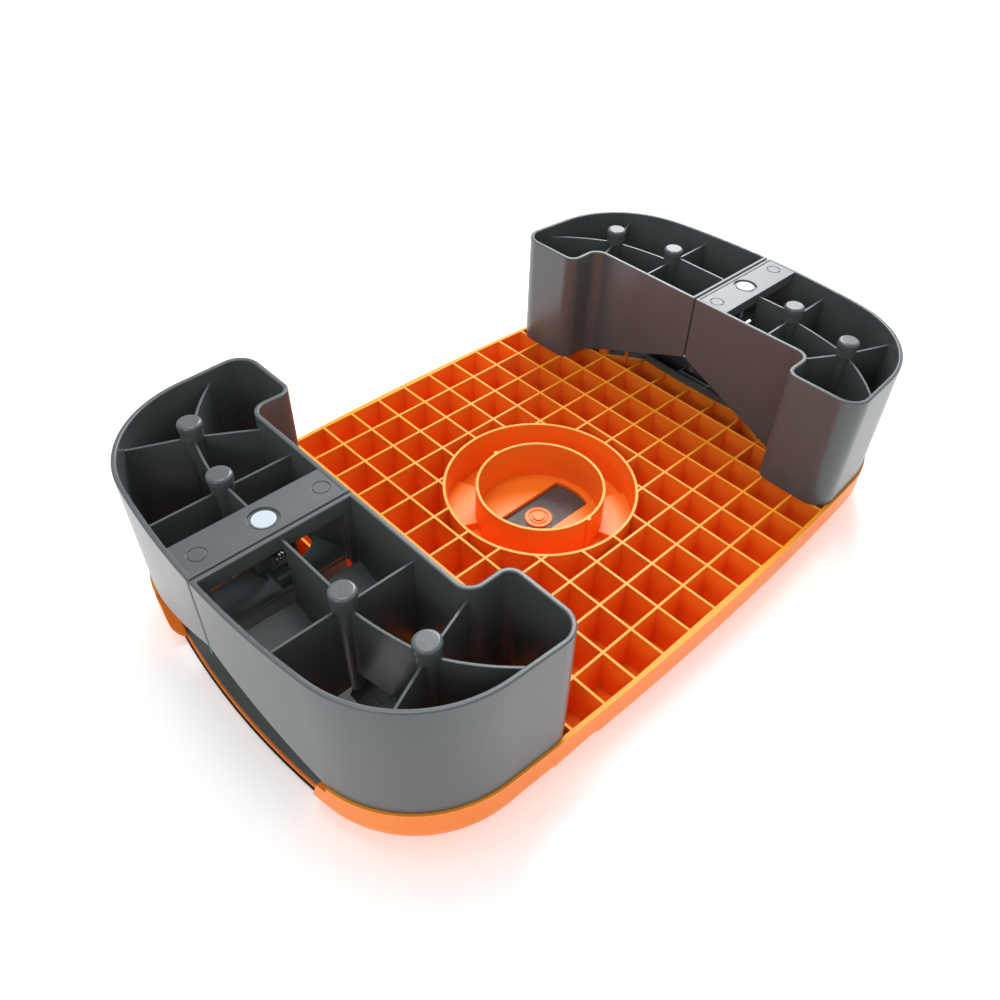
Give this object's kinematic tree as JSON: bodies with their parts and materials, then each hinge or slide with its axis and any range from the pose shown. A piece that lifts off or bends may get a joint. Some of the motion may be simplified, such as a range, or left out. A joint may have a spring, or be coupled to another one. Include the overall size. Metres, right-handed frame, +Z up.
{
  "type": "leveling block",
  "caption": "Low levelling step: waffle-ribbed deck, split hollow risers at both ends with push-button latches, hand grips, round foot caps and a turning centre disc.",
  "frame": {"origin": "under the middle of the walking face, on the ground, as the object lies with its feet up", "axes": "+Z up through the feet, +X along the deck, +Y across it"},
  "size_m": [0.4884, 0.3064, 0.1265],
  "materials": {
    "orange_plastic": "satin moulded polypropylene",
    "grey_plastic": "satin moulded polypropylene",
    "grey_rubber": "smooth soft rubber",
    "black_rubber": "matt moulded rubber",
    "white_plastic": "smooth white plastic",
    "bright_steel": "bright zinc-plated steel",
    "dark_plate": "finely textured dark plastic"
  },
  "bodies": {
    "deck": {"deck": "orange_plastic", "tread_mat": "black_rubber", "grip_insert_right": "grey_plastic", "grip_insert_left": "grey_plastic", "grip_screws_right": "bright_steel", "grip_screws_left": "bright_steel", "anchor_head_plain_right": "grey_plastic", "anchor_head_plain_left": "grey_plastic", "anchor_head_bar_right": "grey_plastic", "anchor_head_bar_left": "grey_plastic"},
    "turning_disc": {"turn_disc": "dark_plate", "hub_cap": "orange_plastic"},
    "riser_plain_right": {"riser_plain_right": "grey_plastic", "foot_cap_plain_near_right": "grey_rubber", "foot_cap_plain_far_right": "grey_rubber", "anchor_clip_plain_right": "grey_plastic", "clip_screw_plain_right": "bright_steel", "latch_keeper_right": "grey_plastic"},
    "riser_bar_right": {"riser_bar_right": "grey_plastic", "foot_cap_bar_near_right": "grey_rubber", "foot_cap_bar_far_right": "grey_rubber", "anchor_clip_bar_right": "grey_plastic", "clip_screw_bar_right": "bright_steel", "latch_housing_right": "grey_plastic", "button_spring_right": "bright_steel"},
    "button_right": {"push_button_right": "white_plastic", "stem_pin_right": "bright_steel", "retaining_ring_right": "bright_steel", "latch_tongue_right": "grey_plastic"},
    "riser_plain_left": {"riser_plain_left": "grey_plastic", "foot_cap_plain_near_left": "grey_rubber", "foot_cap_plain_far_left": "grey_rubber", "anchor_clip_plain_left": "grey_plastic", "clip_screw_plain_left": "bright_steel", "latch_keeper_left": "grey_plastic"},
    "riser_bar_left": {"riser_bar_left": "grey_plastic", "foot_cap_bar_near_left": "grey_rubber", "foot_cap_bar_far_left": "grey_rubber", "anchor_clip_bar_left": "grey_plastic", "clip_screw_bar_left": "bright_steel", "latch_housing_left": "grey_plastic", "button_spring_left": "bright_steel"},
    "button_left": {"push_button_left": "white_plastic", "stem_pin_left": "bright_steel", "retaining_ring_left": "bright_steel", "latch_tongue_left": "grey_plastic"}
  },
  "joints": [
    {"name": "disc_turn", "type": "hinge", "parent": "deck", "child": "turning_disc", "pos_m": [0, 0, 0.003], "axis": [0, 0, 1], "continuous": true},
    {"name": "riser_plain_right_slide", "type": "slide", "parent": "deck", "child": "riser_plain_right", "axis": [0, 1, 0], "range_m": [0, 0.018]},
    {"name": "riser_bar_right_slide", "type": "slide", "parent": "deck", "child": "riser_bar_right", "axis": [0, -1, 0], "range_m": [0, 0.018]},
    {"name": "button_right_press", "type": "slide", "parent": "riser_bar_right", "child": "button_right", "axis": [0, 0, -1], "range_m": [0, 0.004], "stiffness_N_per_m": 400, "springref_m": -0.004, "deforming": ["button_spring_right"]},
    {"name": "riser_plain_left_slide", "type": "slide", "parent": "deck", "child": "riser_plain_left", "axis": [0, -1, 0], "range_m": [0, 0.018]},
    {"name": "riser_bar_left_slide", "type": "slide", "parent": "deck", "child": "riser_bar_left", "axis": [0, 1, 0], "range_m": [0, 0.018]},
    {"name": "button_left_press", "type": "slide", "parent": "riser_bar_left", "child": "button_left", "axis": [0, 0, -1], "range_m": [0, 0.004], "stiffness_N_per_m": 400, "springref_m": -0.004, "deforming": ["button_spring_left"]}
  ]
}
